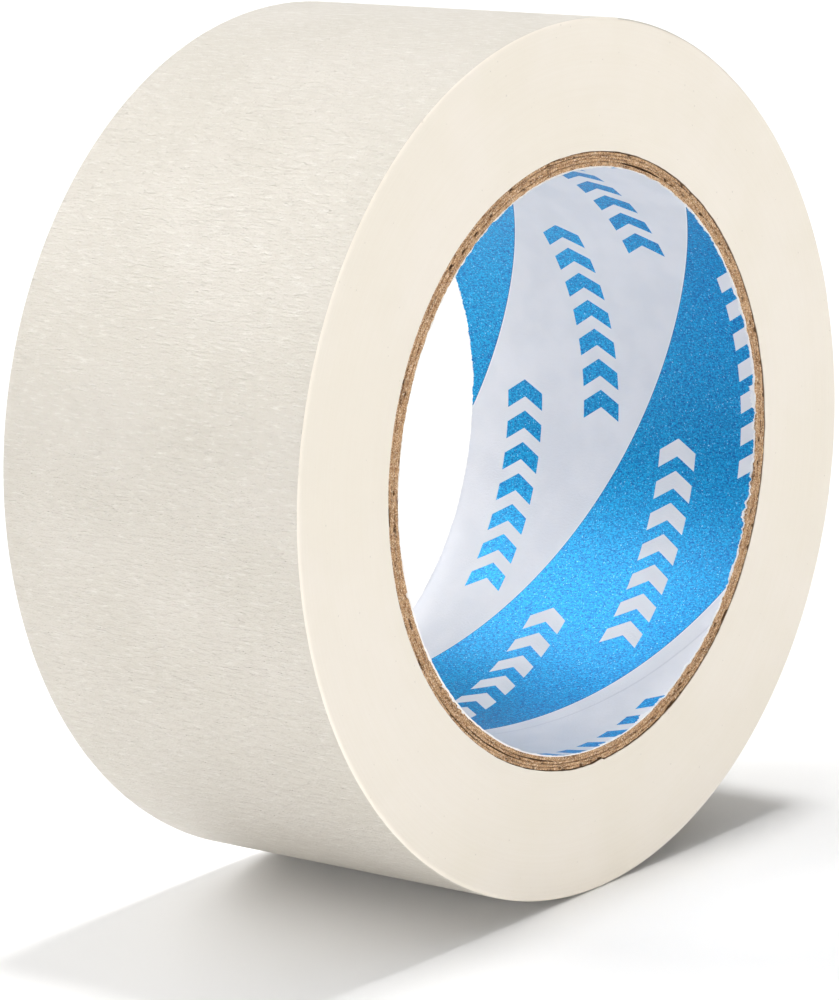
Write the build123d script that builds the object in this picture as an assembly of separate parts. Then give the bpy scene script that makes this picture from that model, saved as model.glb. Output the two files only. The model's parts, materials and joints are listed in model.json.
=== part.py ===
from build123d import *
import os
from math import cos, pi, radians, sin, tan

# A roll of masking tape, in millimetres, standing on its edge.
# Its axis is the Y axis, and the origin is on that axis, halfway across the tape's width.
# Angles run from +X towards +Z, so 90 degrees is the top of the roll.

# ---- driving dimensions ----
BORE_DIAMETER = 76.2  # the 3 inch core that tape dispensers take
ROLL_DIAMETER = 114.2
TAPE_WIDTH = 49.0
TAPE_THICKNESS = 0.13  # crepe paper with its adhesive

LINER_THICKNESS = 0.15  # printed paper, glued inside the core
PLY_THICKNESS = 0.43  # kraft board
PLY_COUNT = 4
PLY_SEAM_GAP = 0.4  # between the two edges of a ply's strip, measured across the seam
WINDING_ANGLE = 26.8  # of the core's strips, from the direction round the core
FIRST_SEAM_ANGLE = 144.0  # where the innermost ply's seam crosses the middle of the width
SEAM_STEP = 137.5  # from one ply's seam to the next, so that no two lie over each other

END_EDGE_ANGLE = 15.0  # where the free end of the tape is cut
END_SEGMENTS = 6  # rigid lengths that the loose end is divided into, with a hinge before each
SEGMENT_ARC = 10.0  # degrees of the roll that one segment covers
SEGMENT_GAP = 0.05  # between neighbouring segments, along the tape
LIFT_GAP = 0.02  # between the loose end and the lap beneath it

# ---- sizes that follow ----
ROLL_RADIUS = ROLL_DIAMETER / 2
LINER_INSIDE = BORE_DIAMETER / 2
LINER_OUTSIDE = LINER_INSIDE + LINER_THICKNESS
CORE_RADIUS = LINER_OUTSIDE + PLY_COUNT * PLY_THICKNESS
WINDING_LEAD = 2 * pi * LINER_INSIDE * tan(radians(WINDING_ANGLE))
END_ROOT_ANGLE = END_EDGE_ANGLE + END_SEGMENTS * SEGMENT_ARC
HALF_GAP_ANGLE = SEGMENT_GAP / ROLL_RADIUS * 90.0 / pi


def point_at(radius, angle):
    """A point of the roll's cross-section."""
    return (radius * cos(radians(angle)), radius * sin(radians(angle)))


def spiral_disc(laps_inside, growth=0.0):
    """Cross-section of the roll within the outer surface of its last lap, or of a lap further in.

    The tape is one spiral. Each lap's surface falls by one thickness over its turn, from the angle
    of the cut edge back to the same angle, where the next lap in takes over.
    """
    quarters = 4
    arcs = []
    for quarter in range(quarters):
        points = []
        for turns in (quarter / quarters, (quarter + 0.5) / quarters, (quarter + 1) / quarters):
            radius = ROLL_RADIUS + growth - TAPE_THICKNESS * (laps_inside + turns)
            points.append(point_at(radius, END_EDGE_ANGLE + 360.0 * turns))
        arcs.append(ThreePointArc(*points))
    step = Line(arcs[-1] @ 1, arcs[0] @ 0)
    return make_face(Curve() + arcs + step)


def wedge(first, last):
    """A triangle from the axis that reaches past the roll between two angles."""
    reach = 2 * ROLL_RADIUS
    return make_face(Polyline((0, 0), point_at(reach, first), point_at(reach, last), close=True))


def across_width(profile):
    """A solid with this cross-section, over the whole width of the tape."""
    middle = Plane(origin=(0, 0, 0), x_dir=(1, 0, 0), z_dir=(0, -1, 0))
    return extrude(middle * profile, amount=TAPE_WIDTH / 2, both=True)


def ring(inside, outside):
    return across_width(Circle(outside) - Circle(inside))


def seam_bar(radius, depth, angle):
    """A square-edged bar that winds round the roll's axis and fills the gap of one ply's seam."""
    length = TAPE_WIDTH + 2 * PLY_THICKNESS
    path = Helix(pitch=WINDING_LEAD, height=length, radius=radius)
    section = Plane(origin=path @ 0, x_dir=(1, 0, 0), z_dir=path % 0) * Rectangle(depth, PLY_SEAM_GAP)
    bar = sweep(section, path=path, is_frenet=True)
    laid_along_y = Plane(origin=(0, -length / 2, 0), x_dir=(1, 0, 0), z_dir=(0, 1, 0)) * bar
    turn_to_middle = 180.0 * length / WINDING_LEAD
    return Rot(0, -(angle + turn_to_middle), 0) * laid_along_y


def core_ply(number):
    """One strip of kraft board wound into a tube, with its butt seam. Ply 1 is the innermost."""
    inside = LINER_OUTSIDE + (number - 1) * PLY_THICKNESS
    seam_angle = FIRST_SEAM_ANGLE + (number - 1) * SEAM_STEP
    seam = seam_bar(inside + PLY_THICKNESS / 2, 2 * PLY_THICKNESS, seam_angle)
    return ring(inside, inside + PLY_THICKNESS) - seam


def tape_laps():
    """Every lap but the last."""
    return across_width(spiral_disc(laps_inside=1) - Circle(CORE_RADIUS))


def outer_lap():
    """The last lap, as far as it is stuck down."""
    last_lap = spiral_disc(laps_inside=0) - spiral_disc(laps_inside=1)
    return across_width(last_lap - wedge(END_EDGE_ANGLE, END_ROOT_ANGLE))


def tape_end(number):
    """One rigid length of the loose end. Number 1 is next to the outer lap."""
    root = END_ROOT_ANGLE - (number - 1) * SEGMENT_ARC
    tip = root - SEGMENT_ARC
    loose_lap = spiral_disc(laps_inside=0) - spiral_disc(laps_inside=1, growth=LIFT_GAP)
    return across_width(loose_lap & wedge(tip + HALF_GAP_ANGLE, root - HALF_GAP_ANGLE))


def write(solid, node):
    export_step(solid, f"parts/{node}.step")


os.makedirs("parts", exist_ok=True)

write(ring(LINER_INSIDE, LINER_OUTSIDE), "printed_liner")
for number in range(1, PLY_COUNT + 1):
    write(core_ply(number), f"core_ply_{number}")
write(tape_laps(), "tape_laps")
write(outer_lap(), "outer_lap")
for number in range(1, END_SEGMENTS + 1):
    write(tape_end(number), f"tape_end_{number}")
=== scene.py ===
import json
from math import atan2, cos, degrees, hypot, pi, radians, sin, tan

import bmesh
import bpy
import numpy as np
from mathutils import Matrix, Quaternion, Vector


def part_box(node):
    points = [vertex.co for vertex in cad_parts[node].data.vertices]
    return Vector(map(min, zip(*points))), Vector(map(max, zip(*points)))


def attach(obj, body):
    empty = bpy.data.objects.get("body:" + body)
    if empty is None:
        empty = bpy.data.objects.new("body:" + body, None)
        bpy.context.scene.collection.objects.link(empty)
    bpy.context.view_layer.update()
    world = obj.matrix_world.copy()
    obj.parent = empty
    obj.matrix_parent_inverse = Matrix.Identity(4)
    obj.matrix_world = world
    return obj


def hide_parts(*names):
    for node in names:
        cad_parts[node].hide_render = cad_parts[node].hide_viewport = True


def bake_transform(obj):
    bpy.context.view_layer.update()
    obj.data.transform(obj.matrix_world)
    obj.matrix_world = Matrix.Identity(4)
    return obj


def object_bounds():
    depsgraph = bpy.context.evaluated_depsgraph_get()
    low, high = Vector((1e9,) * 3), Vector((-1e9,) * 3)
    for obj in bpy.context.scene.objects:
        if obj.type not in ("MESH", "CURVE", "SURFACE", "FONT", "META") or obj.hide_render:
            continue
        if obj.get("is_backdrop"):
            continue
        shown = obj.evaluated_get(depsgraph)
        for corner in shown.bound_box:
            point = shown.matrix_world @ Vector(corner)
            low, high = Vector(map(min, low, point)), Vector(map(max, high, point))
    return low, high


# The look of a roll of masking tape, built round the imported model.
# Blender works in metres, but every size and pattern below is in millimetres and becomes metres
# when a mesh is made. Angles run from +X towards +Z, so 90 degrees is the top of the roll.
# The near side is the flat side that faces -Y. A function's side is -1 there and 1 on the far side.

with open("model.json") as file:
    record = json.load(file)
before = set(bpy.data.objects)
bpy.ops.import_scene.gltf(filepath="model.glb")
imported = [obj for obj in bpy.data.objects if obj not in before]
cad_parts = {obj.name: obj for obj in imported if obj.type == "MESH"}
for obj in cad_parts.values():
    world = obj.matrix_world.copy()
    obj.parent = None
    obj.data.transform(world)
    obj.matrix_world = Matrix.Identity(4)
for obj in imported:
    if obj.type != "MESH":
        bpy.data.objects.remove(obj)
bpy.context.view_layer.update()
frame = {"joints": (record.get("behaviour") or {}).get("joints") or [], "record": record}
MM = 0.001
MERGE = 1e-7  # metres; points nearer than this become one

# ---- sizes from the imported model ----


def half_size(node):
    low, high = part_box(node)
    return (high.x - low.x) / 2 / MM


def half_width(node):
    low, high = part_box(node)
    return (high.y - low.y) / 2 / MM


mounts = {mount["name"]: mount for mount in frame["record"]["mounts"]}
hinges = [Vector(joint["pos_m"]) / MM for joint in frame["joints"]]
hinge_angles = [degrees(atan2(hinge.z, hinge.x)) for hinge in hinges]

HALF = half_width("tape_laps")
BORE = mounts["core_bore"]["dims"]["r_mm"]
CORE_NODES = ["printed_liner", "core_ply_1", "core_ply_2", "core_ply_3", "core_ply_4"]
PLIES = [half_size(node) for node in CORE_NODES]  # outside radius of the liner and of each ply
CORE = PLIES[-1]
SEGMENT = hinge_angles[0] - hinge_angles[1]  # degrees of the roll that each length of the loose end covers
EDGE = hinge_angles[-1] - SEGMENT  # where the free end is cut
ROOT = hinge_angles[0] + SEGMENT / 2  # where the bending part of the tape begins

# ---- sizes of what the frame leaves out ----
TAPE = 0.13  # thickness, and so the spiral's fall in one turn
LIFT = 0.02  # between the loose end and the lap under it
SOFT_EDGE = 0.45  # rounding of the outermost laps at the roll's rims
TOP = hypot(hinges[0].x, hinges[0].z) + TAPE * (hinge_angles[0] - EDGE) / 360  # radius at the cut edge
WINDING_ANGLE = 26.8  # of the core's strips and of the print, from the direction round the core
SLOPE = tan(radians(WINDING_ANGLE))
LEAD = 2 * pi * BORE * SLOPE
SEAM_GAP = 0.4
FIRST_SEAM = 144.0
SEAM_STEP = 137.5

# ---- shape helpers ----
LATTICE = np.random.default_rng(11).random((32, 32, 32))


def noise(points, size):
    """Smooth random values from -1 to 1, which change over about this size, given for all axes or each.

    Points moved by a constant, or taken at another radius or width, give a pattern of their own.
    """
    scaled = points / np.array(size)
    base = np.floor(scaled).astype(int)
    part = scaled - base
    part = part * part * (3 - 2 * part)
    total = 0.0
    for corner in np.ndindex(2, 2, 2):
        cell = (base + corner) % len(LATTICE)
        share = np.where(corner, part, 1 - part).prod(axis=-1)
        total = total + share * LATTICE[cell[..., 0], cell[..., 1], cell[..., 2]]
    return 2 * total - 1


def polar(radius, angle, y):
    """Points at these radii, angles in degrees and places across the width."""
    radius, angle, y = np.broadcast_arrays(radius, np.radians(angle), y)
    return np.stack([radius * np.cos(angle), y, radius * np.sin(angle)], axis=-1)


def ease(x):
    """Rises smoothly from 0 at 0 to 1 at 1."""
    x = np.clip(x, 0, 1)
    return x * x * (3 - 2 * x)


def build(name, loops, ends, looks, sides=None):
    """A closed mesh through loops of points.

    ends says what becomes of the first and last loop: "joined" to each other through faces, "capped",
    or "stepped" where both lie at the same place round the roll and only part of them differs.
    sides gives the number of each side's look, for the sides that leave each point of a loop.
    """
    stations, count = loops.shape[:2]
    index = np.arange(stations * count).reshape(stations, count)
    if ends == "joined":
        first, second = index, np.roll(index, -1, axis=0)
    else:
        first, second = index[:-1], index[1:]
    if ends == "stepped":
        first, second = np.vstack([first, index[-1:]]), np.vstack([second, index[:1]])
    quads = np.stack([first, np.roll(first, -1, 1), np.roll(second, -1, 1), second], -1).reshape(-1, 4)
    faces = quads.tolist()
    slots = (sides or [0] * count) * len(first)
    if ends == "capped":
        faces += [index[0].tolist(), index[-1].tolist()]
        slots += [0, 0]
    mesh = bpy.data.meshes.new(name)
    mesh.from_pydata((loops.reshape(-1, 3) * MM).tolist(), [], faces)
    mesh.polygons.foreach_set("material_index", slots)
    work = bmesh.new()
    work.from_mesh(mesh)
    if ends == "stepped":
        bmesh.ops.remove_doubles(work, verts=work.verts, dist=MERGE)
    bmesh.ops.recalc_face_normals(work, faces=work.faces)
    work.to_mesh(mesh)
    work.free()
    piece = bpy.data.objects.new(name, mesh)
    bpy.context.scene.collection.objects.link(piece)
    for look in looks:
        mesh.materials.append(look)
    return piece


def complete(piece, slot, *nodes, sharp=35):
    """Last steps of every piece: its shading, its place at rest for the looks, and what it stands for."""
    mesh = piece.data
    place = np.zeros(len(mesh.vertices) * 3, np.float32)
    mesh.vertices.foreach_get("co", place)
    mesh.attributes.new("rest", "FLOAT_VECTOR", "POINT").data.foreach_set("vector", place / MM)
    mesh.polygons.foreach_set("use_smooth", [True] * len(mesh.polygons))
    mesh.set_sharp_from_angle(angle=radians(sharp))
    if nodes:
        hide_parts(*nodes)
    return piece


# ---- look helpers ----


def srgb(red, green, blue):
    """A colour given in 0 to 255 display values, as Blender's linear colour."""
    values = [channel / 255 for channel in (red, green, blue)]
    return (*[v / 12.92 if v <= 0.04045 else ((v + 0.055) / 1.055) ** 2.4 for v in values], 1.0)


class Field:
    """A value that varies over a surface. Arithmetic on fields makes Math nodes."""

    def __init__(self, look, socket):
        self.look = look
        self.socket = socket

    def math(self, operation, *others):
        return self.look.math(operation, self, *others)

    def __add__(self, other):
        return self.math("ADD", other)

    def __sub__(self, other):
        return self.math("SUBTRACT", other)

    def __mul__(self, other):
        return self.math("MULTIPLY", other)

    def __truediv__(self, other):
        return self.math("DIVIDE", other)

    def __mod__(self, other):
        return self.math("FLOORED_MODULO", other)

    def __pow__(self, other):
        return self.math("POWER", other)

    def __lt__(self, other):
        return self.math("LESS_THAN", other)

    def __gt__(self, other):
        return self.math("GREATER_THAN", other)

    def __abs__(self):
        return self.math("ABSOLUTE")

    def most(self, other):
        return self.math("MAXIMUM", other)


class Look:
    """A material, made from node expressions. Uniform values go straight to the shader's sockets."""

    def __init__(self, name, **sockets):
        self.material = bpy.data.materials.new(name)
        self.material.use_nodes = True
        self.tree = self.material.node_tree
        self.shader = self.tree.nodes["Principled BSDF"]
        for socket, value in sockets.items():
            self.shader.inputs[socket.replace("_", " ")].default_value = value
        self.rest = self.node("Attribute", output="Vector", attribute_name="rest")
        parts = self.tree.nodes.new("ShaderNodeSeparateXYZ")
        self.connect(parts.inputs[0], self.rest)
        self.x, self.y, self.z = (Field(self, parts.outputs[n]) for n in range(3))
        self.radius = (self.x * self.x + self.z * self.z) ** 0.5

    def connect(self, socket, value):
        if isinstance(value, Field):
            self.tree.links.new(value.socket, socket)
        else:
            socket.default_value = value

    def node(self, kind, inputs=None, output=0, **settings):
        node = self.tree.nodes.new("ShaderNode" + kind)
        for name, value in settings.items():
            setattr(node, name, value)
        for name, value in (inputs or {}).items():
            self.connect(node.inputs[name], value)
        return Field(self, node.outputs[output])

    def math(self, operation, *values):
        return self.node("Math", dict(enumerate(values)), operation=operation)

    def noise(self, size, detail=2.0, rough=0.5, place=None):
        """Random values about 0.5. size is in mm, for all axes or for each."""
        sizes = size if isinstance(size, tuple) else (size,) * 3
        inputs = {0: place or self.rest, 1: tuple(1 / length for length in sizes)}
        scaled = self.node("VectorMath", inputs, operation="MULTIPLY")
        inputs = {"Vector": scaled, "Scale": 1.0, "Detail": detail, "Roughness": rough}
        return self.node("TexNoise", inputs)

    def vector(self, x, y, z):
        return self.node("CombineXYZ", {0: x, 1: y, 2: z})

    def step(self, value, low, high, to_low=0.0, to_high=1.0):
        """value eased from low to high onto the second range, and held outside it."""
        inputs = {"Value": value, "From Min": low, "From Max": high, "To Min": to_low, "To Max": to_high}
        return self.node("MapRange", inputs, interpolation_type="SMOOTHSTEP")

    def mix(self, share, first, second):
        """Sockets 6 and 7 of the Mix node are its two colours, and output 2 is the mixed one."""
        return self.node("Mix", {0: share, 6: first, 7: second}, output=2, data_type="RGBA")

    def sunk(self):
        """Depth below the flat side that is nearer."""
        return self.math("SUBTRACT", HALF, abs(self.y))

    def bump(self, *heights):
        """Each height is a field from 0 to 1 and its depth in mm."""
        normal = None
        for height, depth in heights:
            inputs = {"Strength": 1.0, "Distance": depth * MM, "Height": height}
            if normal:
                inputs["Normal"] = normal
            normal = self.node("Bump", inputs)
        self.connect(self.shader.inputs["Normal"], normal)

    def set(self, **sockets):
        for socket, value in sockets.items():
            self.connect(self.shader.inputs[socket.replace("_", " ")], value)


# ---- looks ----


def crepe_look():
    """The outside of the tape: fine wrinkles across its length, with a few long creases."""
    look = Look("crepe", Specular_IOR_Level=0.45)
    wrinkles = look.noise((0.3, 1.9, 0.3), detail=3, rough=0.65)
    grain = look.noise((0.2, 0.35, 0.2), detail=2)
    waves = look.noise((1.1, 7.0, 1.1), detail=2)
    creases = look.step(abs(waves - 0.5), 0.0, 0.02, 1.0, 0.0)
    clouds = look.noise((14.0, 20.0, 14.0), detail=2)
    tone = look.mix(look.step(clouds, 0.3, 0.7), srgb(215, 209, 198), srgb(219, 213, 203))
    # painted shade: the tone darkens in the hollows of the wrinkles
    tone = look.mix(look.step(wrinkles, 0.3, 0.6, 0.10, 0.0), tone, srgb(190, 179, 163))
    # painted highlight: thin light lines on the wrinkles' crests
    tone = look.mix(look.step(wrinkles, 0.56, 0.68, 0.0, 0.45), tone, srgb(238, 234, 226))
    look.set(Base_Color=tone, Roughness=look.step(wrinkles, 0.3, 0.7, 0.52, 0.34))
    look.bump((waves, 0.035), (wrinkles, 0.26), (creases, 0.03), (grain, 0.12))
    return look.material


def slit_look():
    """The roll's flat sides: more than a hundred laps of tape, cut clean, with faint rings."""
    look = Look("slit_edge", Specular_IOR_Level=0.3)
    drift = look.noise(9.0, detail=2)
    laps = look.noise((0.16, 1.0, 1.0), detail=1, place=look.vector(look.radius, drift * 1.5, 0.0))
    bands = look.noise((1.9, 1.0, 1.0), detail=2, place=look.vector(look.radius, drift * 2.0, 0.0))
    dust = look.step(look.noise(0.5, detail=0), 0.80, 0.86)
    grain = look.noise(0.22, detail=2)
    clouds = look.noise(16.0, detail=3)
    tone = look.mix(look.step(clouds, 0.35, 0.65), srgb(245, 237, 223), srgb(247, 239, 227))
    tone = look.mix(look.step(bands, 0.35, 0.65, 0.03, 0.0), tone, srgb(226, 212, 184))
    tone = look.mix(look.step(laps, 0.35, 0.65, 0.04, 0.0), tone, srgb(219, 203, 172))
    tone = look.mix(dust * 0.25, tone, srgb(176, 168, 158))
    # painted shade: the tone darkens to brown with depth in the groove between the core and the tape
    painted_groove_shade = look.sunk() * (look.radius < CORE + GROOVE_REACH)
    tone = look.mix(look.step(painted_groove_shade, 0.06, 0.2), tone, srgb(104, 78, 54))
    look.set(Base_Color=tone, Roughness=look.step(grain, 0.3, 0.7, 0.62, 0.74))
    look.bump((bands, 0.012), (laps, 0.009), (grain, 0.012))
    return look.material


def adhesive_look():
    """The sticky side of the tape: yellower than the paper and a little glossy, with the crepe behind it."""
    look = Look("adhesive", Specular_IOR_Level=0.5, Coat_Weight=0.15, Coat_Roughness=0.35)
    wrinkles = look.noise((0.5, 3.0, 0.5), detail=3)
    dabs = look.noise((3.0, 5.0, 3.0), detail=3)
    tone = look.mix(look.step(dabs, 0.35, 0.65), srgb(233, 216, 178), srgb(239, 224, 190))
    tone = look.mix(look.step(wrinkles, 0.3, 0.7, 0.15, 0.0), tone, srgb(205, 182, 138))
    look.set(Base_Color=tone, Roughness=look.step(dabs, 0.3, 0.7, 0.34, 0.5))
    look.bump((wrinkles, 0.06), (dabs, 0.03))
    return look.material


def kraft_look(number):
    """Unbleached board. Its cut edge shows broken layers of fibre that run round the core, with flecks."""
    look = Look(f"kraft_{number}", Specular_IOR_Level=0.25)
    shift = 7.3 * number  # so that no two plies have the same pattern
    wander = look.noise(1.3, detail=2)
    place = look.vector(look.radius + wander * 0.35, look.x + look.y * 3.0 + shift, look.z - look.y * 2.0)
    layers = look.noise((0.11, 1.5, 1.5), detail=2, place=place)
    lines = look.noise((0.17, 3.2, 3.2), detail=2, place=place)
    moved = look.vector(look.x + shift, look.y, look.z)
    fibres = look.noise(0.55, detail=3, rough=0.6, place=moved)
    grain = look.noise(0.2, detail=2, rough=0.6, place=moved)
    flecks = look.noise(0.21, detail=1, place=look.vector(look.x - shift, look.y, look.z))
    tone = look.mix(look.step(fibres, 0.35, 0.65), srgb(184, 143, 103), srgb(214, 175, 134))
    tone = look.mix(look.step(layers, 0.28, 0.42, 0.8, 0.0), tone, srgb(126, 82, 48))
    tone = look.mix(look.step(lines, 0.36, 0.44, 0.75, 0.0), tone, srgb(92, 58, 36))
    tone = look.mix(look.step(grain, 0.32, 0.44, 0.8, 0.0), tone, srgb(108, 68, 40))
    tone = look.mix(look.step(grain, 0.55, 0.63, 0.0, 0.85), tone, srgb(246, 222, 192))
    tone = look.mix(look.step(flecks, 0.70, 0.76, 0.0, 0.8), tone, srgb(60, 40, 27))
    tone = look.mix(look.step(flecks, 0.25, 0.31, 0.85, 0.0), tone, srgb(246, 236, 224))
    # painted shade: the tone darkens with depth where the cut edge sinks into gaps between plies
    painted_gap_shade = look.sunk() * (look.radius > PLIES[0] + 0.04)
    tone = look.mix(look.step(painted_gap_shade, 0.20, 0.42, 0.0, 0.85), tone, srgb(74, 48, 30))
    look.set(Base_Color=tone, Roughness=look.step(fibres, 0.3, 0.7, 0.95, 0.78))
    look.bump((lines, 0.08), (layers, 0.05), (fibres, 0.05), (grain, 0.07))
    return look.material


# The print is measured round the bore from angle 0, on the near edge.
PRINT_START = 215.1  # the first blue stripe
STRIPE = 59.3  # width of a blue stripe
REPEAT = 116.8  # from one blue stripe to the next
MARGIN = 233.6  # from the print's start to its end at the liner's lapped seam
STRIPE_RIM = 0.2  # width of the darker line of ink inside a stripe's edge
STRIPE_GLOW = 0.4  # width of the whiter line of paper outside it
ROWS = 13.3  # from one row of arrows to the next, across the width
FIRST_ROW = -0.35
ROW_START, ROW_LENGTH = -14.0, 29.0  # from the middle of a stripe
ARROWS = 7
ARROW_SHARE = 0.55  # of the pitch that an arrow fills
ARROW_PITCH = ROW_LENGTH / (ARROWS - 1 + ARROW_SHARE)
ARROW_HALF_HEIGHT = 3.0
ARROW_POINT = 0.6  # how far an arrow's sides lean back for each mm from its point


def liner_look():
    """Coated paper printed with slanting blue stripes, and rows of plain arrow heads in each stripe."""
    look = Look("printed_paper", Specular_IOR_Level=0.5, Coat_Weight=0.2, Coat_Roughness=0.32)
    turn = 2 * pi * BORE
    around = look.math("ARCTAN2", look.z, look.x) * BORE
    across = look.y + HALF
    slanted = (around + across / SLOPE - PRINT_START) % turn
    middles = [STRIPE / 2, STRIPE / 2 + REPEAT, STRIPE / 2 + turn]
    first, second, third = (look.math("SUBTRACT", STRIPE / 2, abs(slanted - middle)) for middle in middles)
    inside = first.most(second).most(third)
    blue = inside > 0.0
    half_repeat = REPEAT / 2
    row = (across - FIRST_ROW + ROWS / 2) % ROWS - ROWS / 2
    along = (slanted - STRIPE / 2 + half_repeat / 2) % half_repeat - half_repeat / 2 - row / SLOPE
    pointed = along + abs(row) * ARROW_POINT - ROW_START
    arrows = (abs(row) < ARROW_HALF_HEIGHT) * (pointed > 0.0) * (pointed < ROW_LENGTH)
    arrows = arrows * ((pointed / ARROW_PITCH) % 1.0 < ARROW_SHARE) * (slanted < MARGIN)
    ink = abs(blue - arrows)
    rim = (inside > 0.0) * (inside < STRIPE_RIM) * 0.7
    glow = (inside < 0.0) * (inside > -STRIPE_GLOW) * 0.6
    speckle = look.noise((0.22, 0.42, 0.22), detail=4, rough=0.75)
    painted_glint = look.noise(0.2, detail=1, place=look.vector(look.x + 31.0, look.y, look.z))
    clouds = look.noise(6.0, detail=2)
    ink_tone = look.mix(look.step(speckle, 0.36, 0.64), srgb(2, 98, 178), srgb(22, 181, 232))
    # painted glints: light cyan and near-white dots on the ink
    ink_tone = look.mix(look.step(painted_glint, 0.56, 0.70) * 0.6, ink_tone, srgb(96, 208, 248))
    ink_tone = look.mix(look.step(painted_glint, 0.71, 0.77) * 0.8, ink_tone, srgb(205, 240, 255))
    ink_tone = look.mix(rim, ink_tone, srgb(12, 62, 120))
    paper = look.mix(look.step(clouds, 0.35, 0.65), srgb(233, 232, 235), srgb(239, 237, 239))
    paper = look.mix(glow, paper, srgb(252, 253, 255))
    tone = look.mix(ink, paper, ink_tone)
    torn = look.node("Attribute", output="Fac", attribute_name="torn")
    ragged = look.step(torn + (look.noise(0.22, detail=2) - 0.5) * 0.35, -0.015, 0.015)
    tone = look.mix(ragged, tone, srgb(250, 247, 244))
    crease = look.step(abs(slanted - MARGIN), 0.0, 0.5, 1.0, 0.0)
    # painted shade: a faint grey line along the crease over the liner's seam
    tone = look.mix(crease * 0.18, tone, srgb(150, 150, 165))
    fibre = look.noise(0.3, detail=2)
    metallic = ink * look.math("SUBTRACT", 1.0, ragged) * 0.75
    look.set(Base_Color=tone, Metallic=metallic, Roughness=look.step(speckle, 0.3, 0.7, 0.36, 0.5))
    look.bump((speckle, 0.07), (fibre, 0.02), (crease, 0.05), (clouds, 0.12))
    return look.material


# ---- tape ----
TURN_STATIONS = 720
FACE_STEPS = 20  # points from the core to the rim on each flat side
RIM_POINTS = 4
WIDTH_STEPS = 48
FACE_INSIDE = CORE + 0.9  # the flat sides' first and last full circles
FACE_OUTSIDE = TOP - TAPE - SOFT_EDGE - 0.1
COVER_RAMP = 4  # degrees over which the rims come up to the loose end's level before its cut edge
BEND_STATIONS = 21  # along each bending length
GROOVE = 0.22  # about the widest gap on the flat sides between the core and the tape
GROOVE_REACH = GROOVE * 1.6  # how far from the core the groove's painted shade may reach
GROOVE_SHARES = np.array([0.0, 0.35, 1.0])  # points across the groove, and how deep they lie
GROOVE_DEPTHS = np.array([0.45, 0.22, 0.02])
NOTCH_START, NOTCH_END, NOTCH_DEPTH = 267.9, 272.2, 0.36  # the outer ply's open seam, near side
NOTCH_RAMP = 1.15  # its slope, so that it is at full depth before its end
NOTCH_BRIDGED = 0.13  # how deep the ply sinks before the tape follows it


def stretch(angles, middle, length):
    """1 along a stretch of the circle, and 0 beyond this many degrees from its middle."""
    away = np.abs((angles - middle + 180) % 360 - 180)
    return ease(3 * (1 - away / length))


def notch(angles, side):
    """How far the outer ply has sunk where its seam opens. It sinks slowly and ends in a step."""
    share = (angles % 360 - NOTCH_START) / (NOTCH_END - NOTCH_START)
    inside = (share > 0) & (share < 1) & (side < 0)
    return NOTCH_DEPTH * np.where(inside, np.minimum(share * NOTCH_RAMP, 1), 0)


def bridged(angles, side):
    """How far the tape follows the outer ply into the notch."""
    return np.clip(notch(angles, side) - NOTCH_BRIDGED, 0, 1)


def groove_width(angles, side):
    """Width of the gap between the core and the tape. It is widest at 350 degrees."""
    around = polar(CORE, angles, 5.0 * side)
    wide = 0.35 + 0.65 * stretch(angles, 350.0, 120.0)
    return GROOVE * wide * (0.75 + 0.35 * noise(around, 2.5) + 0.2 * noise(around, 0.7))


def lap_radius(angle):
    """Outer radius of the spiral. Angles past a full turn are the lap beneath."""
    return TOP - TAPE * (angle - EDGE) / 360


def crepe_height(angle, y):
    """How far the crepe paper stands proud or sinks. It is the same on every lap, so that laps nest."""
    place = polar(TOP, angle, y)
    return 0.008 * noise(place, (0.9, 5.0, 0.9)) + 0.005 * noise(place + 50, (3.0, 12.0, 3.0))


def rim_curve(reference, shallow, deep, count):
    """Distances from the middle of the width, radii and flatness of points down the rounded rim."""
    start, end = np.arcsin(1 - shallow / SOFT_EDGE), np.arcsin(1 - deep / SOFT_EDGE)
    turn = start + (end - start) * np.linspace(0, 1, count)
    reach = HALF + SOFT_EDGE * (np.cos(turn) - 1)
    radius = reference + SOFT_EDGE * (np.sin(turn) - 1)
    return reach, radius, np.sin(turn)


def flat_side(angles, side):
    """The slit edges of the laps, from the core outwards. A few laps stand back a little."""
    inside = CORE - bridged(angles, side)
    groove = inside + groove_width(angles, side) * GROOVE_SHARES
    radii = np.linspace(FACE_INSIDE, FACE_OUTSIDE, FACE_STEPS + 1)
    laps = np.random.default_rng(5 + side).random(FACE_STEPS + 1)
    back = 0.02 * laps + 0.015 * (1 + noise(polar(radii, angles, side * HALF), 14.0))
    back[..., -1] = 0.0
    back = np.hstack([back[..., :1] + GROOVE_DEPTHS, back])
    radii = np.hstack([groove, radii + 0 * angles])
    return polar(radii, angles, side * (HALF - back))


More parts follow.
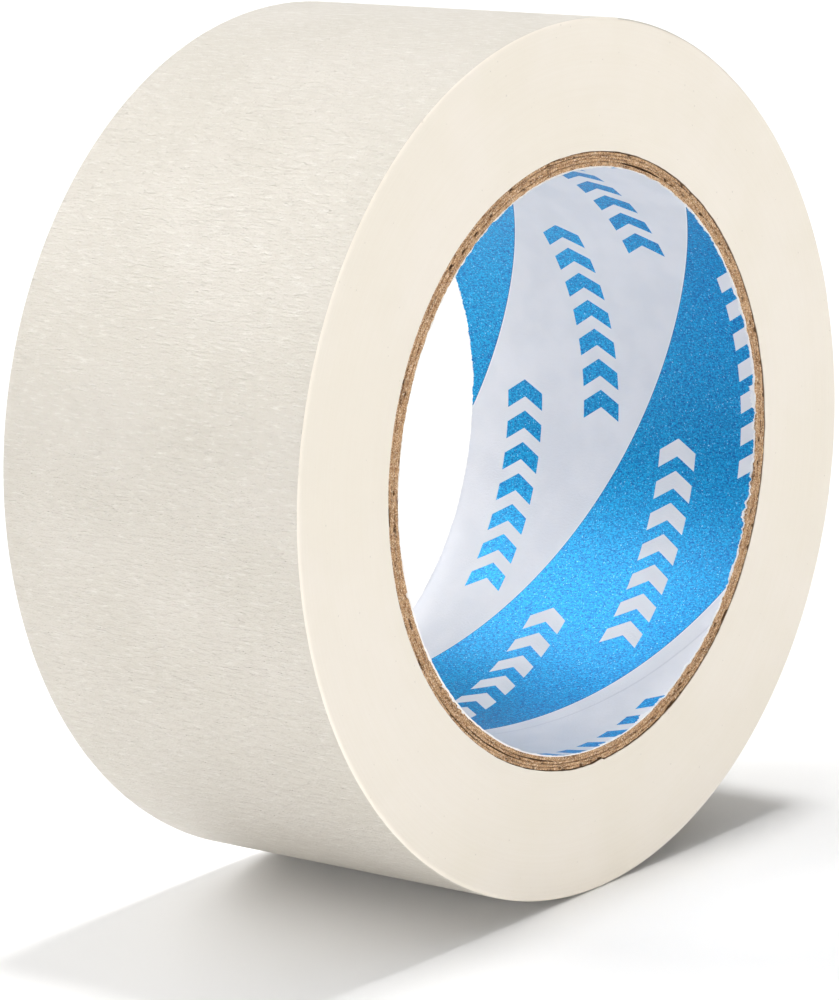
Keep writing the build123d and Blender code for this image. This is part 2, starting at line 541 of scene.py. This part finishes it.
def wound_tape():
    """Everything that stays wound, from the loose end's root round to the lap beneath the loose end."""
    angles = np.linspace(ROOT, ROOT + 360, TURN_STATIONS + 1)[:, None]
    covered = TAPE * ease((angles - EDGE - 360 + COVER_RAMP) / COVER_RAMP)
    reference = lap_radius(angles) + covered
    reach, radius, flatness = rim_curve(reference, covered, SOFT_EDGE, RIM_POINTS)
    place_in_width = np.linspace(-1, 1, WIDTH_STEPS + 1)[1:-1]
    top_y = reach[:, :1] * place_in_width
    top = polar(lap_radius(angles) + crepe_height(angles, top_y), angles, top_y)
    near = polar(radius + flatness * crepe_height(angles, -reach), angles, -reach)
    far = polar(radius + flatness * crepe_height(angles, reach), angles, reach)
    parts = [flat_side(angles, -1), near[:, ::-1], top, far, flat_side(angles, 1)[:, ::-1]]
    counts = [part.shape[1] for part in parts]
    crepe_from = counts[0] + counts[1] // 2
    crepe_to = sum(counts[:3]) + counts[3] // 2
    sides = [int(crepe_from <= n < crepe_to) for n in range(sum(counts))]
    piece = build("wound_tape", np.concatenate(parts, axis=1), "stepped", [slit, crepe], sides)
    complete(piece, "crepe_tape", "tape_laps", "outer_lap")
    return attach(piece, "roll")


def tape_strip(name, first, last, node=None, ragged=0.0):
    """A length of the loose end between two angles, as a closed strip. Its last edge may be ragged."""
    share = np.linspace(0, 1, BEND_STATIONS)[:, None]
    y_spread = np.linspace(-1, 1, WIDTH_STEPS + 1)[1:-1]
    base = first + (last - first) * share
    reach, rim, flatness = rim_curve(lap_radius(base), 0.0, TAPE - LIFT, RIM_POINTS)
    reach, flatness = reach + 0 * base, flatness + 0 * base
    top_y = reach[:, :1] * y_spread
    under_y = reach[:, -1:] * y_spread
    flat = np.ones_like(top_y)
    y = np.hstack([-reach[:, ::-1], top_y, reach, under_y[:, ::-1]])
    top, under = lap_radius(base) * flat, (lap_radius(base) - TAPE + LIFT) * flat
    radii = np.hstack([rim[:, ::-1], top, rim, under])
    lift = np.hstack([flatness[:, ::-1], flat, flatness, flat])
    across = polar(0.0, 0.0, y)
    cut = noise(across + 9, (1.0, 1.1, 1.0)) + 0.6 * noise(across + 3, (1.0, 0.3, 1.0))
    angles = base + ragged * share * cut
    loops = polar(radii + lift * crepe_height(angles, y), angles, y)
    paper_sides = top_y.shape[1] + 2 * RIM_POINTS - 1
    sides = [int(n >= paper_sides) for n in range(loops.shape[1])]
    piece = build(name, loops, "capped", [crepe, adhesive], sides)
    return complete(piece, "crepe_tape", *([node] if node else []))


def loose_end():
    """The lengths of the loose end, each between two hinges, and the stiff tip after the last hinge, which
    goes with the last hinge's body.
    """
    bodies = ["roll"] + [joint["child"] for joint in frame["joints"]]
    for number, (body, following) in enumerate(zip(bodies, bodies[1:]), 1):
        first = ROOT - SEGMENT * (number - 1)
        last = first - SEGMENT
        strip = tape_strip(f"loose_tape_{number}", first, last, f"tape_end_{number}")
        middle_radius = lap_radius(first) - TAPE / 2
        start, end = (polar(middle_radius, angle, 0.0) * MM for angle in (first, last))
        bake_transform(strip)
    tip = tape_strip("loose_tape_tip", EDGE + SEGMENT / 2, EDGE, ragged=0.08)
    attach(tip, bodies[-1])


# ---- core ----
PLY_STATIONS = 1440
# Where plies have come apart at the end faces: after which ply, the middle and the half-length in degrees,
# and the width in mm.
SPLITS = [
    (1, 69.0, 6.5, 0.26),
    (3, 154.0, 5.5, 0.18),
    (2, 236.0, 10.0, 0.18),
    (3, 224.0, 9.0, 0.16),
    (1, 250.0, 7.0, 0.14),
    (3, 335.0, 8.0, 0.12),
]
CORE_STANDS_BACK = 0.08  # all of the board, from the flat sides
PLY_STANDS_BACK = [0.02, 0.09, 0.0, 0.06]  # and each ply, further than that
PLY_SHARES = np.array([0.0, 0.08, 0.2, 0.35, 0.5, 0.65, 0.8, 0.92, 1.0])  # points across a ply's cut edge
PLY_EDGE_BACK = np.array([0.13, 0.03, 0.0, 0.0, 0.0, 0.0, 0.0, 0.03, 0.13])  # and how far they are worn
BORE_WALL = np.array([0.12, 0.3, 0.55, 0.9, 1.6])  # points on the bore's wall, from the cut edge
HIDDEN_WALL = np.array([0.35, 0.8, 1.6])  # and on the walls between plies
PRESSED_DEPTH = 0.55
SEAM_STATIONS = 97
SEAM_MARGIN = 0.3  # how far the seam's cut passes the ply on both sides


def pressed(angles, side, depth):
    """How far the knife has pushed the bore's edge inwards, at this depth from the flat side."""
    burr = 0.10 + 0.03 * noise(polar(BORE, angles, 30.0 * side), 1.1)
    if side < 0:
        burr = burr + 0.14 * stretch(angles, 165.0, 100.0)
    return burr * np.clip(1 - depth / PRESSED_DEPTH, 0, 1) ** 2


def ply_edge(boundary, angles, side):
    """Radius of the line between two plies on the end faces, which wavers a little."""
    around = polar(PLIES[boundary], angles, 10.0 * boundary + side)
    if boundary == 0:
        return PLIES[0] - pressed(angles, side, 0.0)
    if boundary == len(PLIES) - 1:
        ragged = 0.03 * noise(around, 1.4) + 0.03 * noise(around, 0.4)
        return CORE + ragged - notch(angles, side)
    return PLIES[boundary] + 0.06 * noise(around, 5.0) + 0.03 * noise(around, 1.1)


def opening(boundary, angles):
    """Half the width of the gap at the end faces after a ply."""
    gap = 0.004 + 0.026 * noise(polar(PLIES[boundary], angles, 3.0 * boundary), 2.4)
    for after, middle, length, width in SPLITS:
        if after == boundary:
            gap = gap + width / 2 * np.sqrt(np.clip(1 - ((angles - middle) / length) ** 2, 0, 1))
    return np.clip(gap, 0.002, 1)


def ring_of_ply(number):
    """A whole ring with a rough cut edge at both ends, before its seam is cut."""
    angles = np.linspace(0, 360, PLY_STATIONS, endpoint=False)[:, None]
    from_inner_edge = BORE_WALL if number == 1 else HIDDEN_WALL
    cut_edges, outer_walls, inner_walls = [], [], []
    for side in (-1, 1):
        inner = ply_edge(number - 1, angles, side) + opening(number - 1, angles)
        outer = ply_edge(number, angles, side) - opening(number, angles)
        radii = inner + (outer - inner) * PLY_SHARES
        place = polar(radii, angles, side * HALF)
        rough = 0.06 * noise(place + number, 0.32) + 0.04 * noise(place - number, (0.9, 1.0, 0.9))
        cracks = noise(polar(radii * 6, angles, 0) * 0.2 + 5 * number, 1.1)
        crack = 0.22 * ease(2.5 * cracks - 1)
        back = PLY_STANDS_BACK[number - 1] + PLY_EDGE_BACK + rough + crack + CORE_STANDS_BACK
        cut_edges.append(polar(radii, angles, side * (HALF - back)))
        outer_walls.append(polar(PLIES[number], angles, side * (HALF - back[:, -1:] - HIDDEN_WALL)))
        depths = back[:, :1] + from_inner_edge
        radius = PLIES[number - 1] + 0 * depths
        if number == 1:
            coarse = 0.025 * noise(polar(BORE, angles, side * depths), 0.3)
            radius = PLIES[0] - pressed(angles, side, depths) + coarse * (from_inner_edge < 1)
        inner_walls.append(polar(radius, angles, side * (HALF - depths)))
    outside = [cut_edges[0], outer_walls[0], outer_walls[1][:, ::-1]]
    inside = [cut_edges[1][:, ::-1], inner_walls[1], inner_walls[0][:, ::-1]]
    loops = np.concatenate(outside + inside, axis=1)
    return build(f"kraft_ply_{number}", loops, "joined", [kraft_look(number)])


def seam_cutter(number):
    """A bar that winds through a ply and fills the gap of its seam."""
    reach = HALF + 1
    y = np.linspace(-reach, reach, SEAM_STATIONS)[:, None]
    middle = FIRST_SEAM + SEAM_STEP * (number - 1) - 360 * y / LEAD
    half_gap = degrees(SEAM_GAP / sin(radians(WINDING_ANGLE)) / 2 / BORE)
    low, high = PLIES[number - 1] - SEAM_MARGIN, PLIES[number] + SEAM_MARGIN
    corners = [(low, -half_gap), (high, -half_gap), (high, half_gap), (low, half_gap)]
    loops = np.concatenate([polar(radius, middle + turn, y) for radius, turn in corners], axis=1)
    return build("seam_cutter", loops, "capped", [])


def merge_slivers(mesh):
    """Joins the points that the cut leaves almost on top of each other, and drops the faces between them."""
    work = bmesh.new()
    work.from_mesh(mesh)
    bmesh.ops.triangulate(work, faces=work.faces)
    bmesh.ops.dissolve_degenerate(work, edges=work.edges, dist=MERGE)
    bmesh.ops.triangulate(work, faces=work.faces)
    work.to_mesh(mesh)
    work.free()


def core_plies():
    """The four plies, each with its seam cut by a modifier that is applied here."""
    for number in range(1, len(PLIES)):
        ply, cutter = ring_of_ply(number), seam_cutter(number)
        cut = ply.modifiers.new("seam", "BOOLEAN")
        cut.operation, cut.solver, cut.object = "DIFFERENCE", "EXACT", cutter
        ready = ply.evaluated_get(bpy.context.evaluated_depsgraph_get())
        ply.data = bpy.data.meshes.new_from_object(ready)
        ply.modifiers.clear()
        bpy.data.objects.remove(cutter)
        merge_slivers(ply.data)
        complete(ply, "kraft_board", f"core_ply_{number}")
        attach(ply, "roll")


# ---- printed liner ----
LINER_STATIONS = 2160
# Along stretches of the edges the paper is torn back from the end, or its white inside shows.
# Each has its middle, its half-length in degrees and the greatest width in mm.
TORN_BACK = [
    (350.0, 17.0, 0.52),
    (315.0, 34.0, 0.24),
    (64.0, 15.0, 0.55),
    (32.0, 30.0, 0.12),
    (150.0, 55.0, 0.12),
]
WHITE_SHOWS = [
    (27.0, 30.0, 0.46),
    (62.0, 14.0, 0.35),
    (2.5, 2.6, 1.1),
    (320.0, 44.0, 0.30),
    (275.0, 4.0, 0.9),
    (286.0, 3.0, 0.5),
]
FAR_EDGE = [(200.0, 60.0, 0.15), (40.0, 50.0, 0.12)]  # for both, on the far side
EDGE_DEPTHS = np.array([0.0, 0.04, 0.1, 0.2, 0.35, 0.6, 1.0, 2.0])  # points on the printed side
EDGE_THINS = np.array([0.09, 0.05, 0.02, 0, 0, 0, 0, 0])  # how much thinner torn paper is there
BACK_DEPTHS = np.array([0.03, 0.2, 0.5, 1.0])  # points on the glued side
TORN_THROUGH = 0.3  # width of white at which the edge is fully torn
CURL, CURL_REACH = 0.2, 0.4  # how far a torn edge curls off the board, and from how far back
MIDDLE_RINGS, MIDDLE_FROM_END = 9, 5.0


def torn(angles, side, stretches, least, seed):
    """Width of what is torn at each angle."""
    around = polar(BORE, angles, seed + side)
    rough = 0.5 + 0.6 * noise(around, 1.6) + 0.3 * noise(around, 0.5) + 0.25 * noise(around, 0.24)
    width = least
    for middle, length, amount in stretches if side < 0 else FAR_EDGE:
        width = width + amount * stretch(angles, middle, length)
    return np.clip(least / 2 + width * rough, 0.01, 1)


def printed_liner():
    """The liner. Its edges are ragged where the paper is torn, and follow the board's pressed edge."""
    angles = np.linspace(0, 360, LINER_STATIONS, endpoint=False)[:, None]
    inner, outer, widths = [], [], []
    for side in (-1, 1):
        back = torn(angles, side, TORN_BACK, 0.04, 60.0)
        white = torn(angles, side, WHITE_SHOWS, 0.08, 80.0)
        tear = np.clip(white / TORN_THROUGH, 0, 1)
        depths = back + EDGE_DEPTHS
        curl = tear * CURL * (0.5 + noise(polar(BORE, angles, side * HALF + depths), 0.4))
        curl = curl * np.clip(1 - EDGE_DEPTHS / CURL_REACH, 0, 1)
        radius = BORE - pressed(angles, side, depths) + tear * EDGE_THINS - curl
        inner.append(polar(radius, angles, side * (HALF - depths)))
        behind = back + BACK_DEPTHS
        outer.append(polar(PLIES[0] - pressed(angles, side, behind), angles, side * (HALF - behind)))
        widths.append(white - EDGE_DEPTHS)
    middle_end = HALF - MIDDLE_FROM_END
    middle = polar(BORE, angles, np.linspace(-middle_end, middle_end, MIDDLE_RINGS))
    loops = np.concatenate([inner[0], middle, inner[1][:, ::-1], outer[1], outer[0][:, ::-1]], axis=1)
    piece = build("printed_paper_liner", loops, "joined", [liner_look()])
    unprinted = np.ones((LINER_STATIONS, len(BACK_DEPTHS) * 2))
    printed = -np.ones((LINER_STATIONS, middle.shape[1]))
    values = np.concatenate([widths[0], printed, widths[1][:, ::-1], unprinted], axis=1)
    piece.data.attributes.new("torn", "FLOAT", "POINT").data.foreach_set("value", values.ravel())
    complete(piece, "liner_paper", "printed_liner", sharp=50)
    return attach(piece, "roll")


# ---- studio ----
STAGE_REACH = 4.0  # metres
# Each soft light has its name, the direction that it comes from, its strength and its size in degrees.
LIGHTS = [
    ("key", (0.21, 0.02, 1.0), 1.5, 10),
    ("overhead_softbox", (0.0, 0.0, 1.0), 0.85, 80),
    ("back_softbox", (-0.42, 0.66, 0.60), 1.0, 30),
    ("rear_softbox", (0.0, 0.70, 0.72), 0.75, 30),
    ("left_softbox", (-0.966, 0.05, 0.26), 0.66, 20),
    ("left_fill", (-0.75, -0.66, 0.05), 1.05, 40),
    ("front_fill", (0.1, -1.0, 0.1), 0.60, 12),
    ("right_fill", (0.85, 0.5, 0.18), 0.35, 40),
]
WORLD_STRENGTH = 0.06
CAMERA_AZIMUTH, CAMERA_ELEVATION, CAMERA_ROLL = -50.445, 12.614, -2.373
CAMERA_DISTANCE = 612.69
CAMERA_TARGET = Vector((-7.833, -2.894, -5.722))
CAMERA_LENS, SENSOR_WIDTH = 169.1, 36.0


def staged(mesh, look):
    """A part of the studio, which isn't part of the object."""
    mesh.materials.append(look.material)
    piece = bpy.data.objects.new(mesh.name, mesh)
    bpy.context.scene.collection.objects.link(piece)
    piece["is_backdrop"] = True
    return piece


def floor():
    """A pale plane at the roll's lowest point."""
    low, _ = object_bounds()
    mesh = bpy.data.meshes.new("floor")
    corners = [(-1, -1), (1, -1), (1, 1), (-1, 1)]
    mesh.from_pydata([(x * STAGE_REACH, y * STAGE_REACH, low.z) for x, y in corners], [], [(0, 1, 2, 3)])
    look = Look("floor", Roughness=0.9, Specular_IOR_Level=0.1)
    look.set(Base_Color=look.mix(look.noise(40.0), (0.94, 0.94, 0.94, 1), (0.95, 0.95, 0.95, 1)))
    staged(mesh, look)


def backdrop():
    """A white dome that meets the floor, for views from low down. It neither lights nor shades the roll."""
    mesh = bpy.data.meshes.new("backdrop")
    dome = bmesh.new()
    bmesh.ops.create_uvsphere(dome, u_segments=64, v_segments=32, radius=STAGE_REACH)
    dome.to_mesh(mesh)
    dome.free()
    black, white = (0, 0, 0, 1), (1, 1, 1, 1)
    look = Look("backdrop", Base_Color=black, Specular_IOR_Level=0, Emission_Color=white, Emission_Strength=1)
    piece = staged(mesh, look)
    piece.visible_diffuse = piece.visible_glossy = piece.visible_shadow = False


def lights():
    """Suns stand for the softboxes, and a weak white world for the room."""
    for name, direction, strength, size in LIGHTS:
        data = bpy.data.lights.new(name, "SUN")
        data.energy, data.angle = strength, radians(size)
        lamp = bpy.data.objects.new(name, data)
        bpy.context.scene.collection.objects.link(lamp)
        away = Vector(direction).normalized()
        lamp.location = away
        lamp.rotation_euler = away.to_track_quat("Z", "Y").to_euler()
    world = bpy.data.worlds.new("studio")
    world.use_nodes = True
    background = world.node_tree.nodes["Background"]
    background.inputs["Color"].default_value = (1, 1, 1, 1)
    background.inputs["Strength"].default_value = WORLD_STRENGTH
    bpy.context.scene.world = world
    bpy.context.scene.view_settings.view_transform = "Standard"


def camera():
    """The photograph's point of view."""
    azimuth, elevation = radians(CAMERA_AZIMUTH), radians(CAMERA_ELEVATION)
    back = Vector((sin(azimuth) * cos(elevation), -cos(azimuth) * cos(elevation), sin(elevation)))
    data = bpy.data.cameras.new("camera")
    data.lens, data.sensor_width = CAMERA_LENS, SENSOR_WIDTH
    data.clip_start, data.clip_end = 0.01, 20.0
    eye = bpy.data.objects.new("camera", data)
    bpy.context.scene.collection.objects.link(eye)
    eye.location = (CAMERA_TARGET + back * CAMERA_DISTANCE) * MM
    level = back.to_track_quat("Z", "Y").to_matrix()
    tilt = level @ Vector((0, 0, 1))
    eye.rotation_mode = "QUATERNION"
    eye.rotation_quaternion = Quaternion(tilt, radians(CAMERA_ROLL)) @ level.to_quaternion()
    bpy.context.scene.camera = eye


crepe, slit, adhesive = crepe_look(), slit_look(), adhesive_look()
wound_tape()
loose_end()
core_plies()
printed_liner()
floor()
backdrop()
lights()
camera()
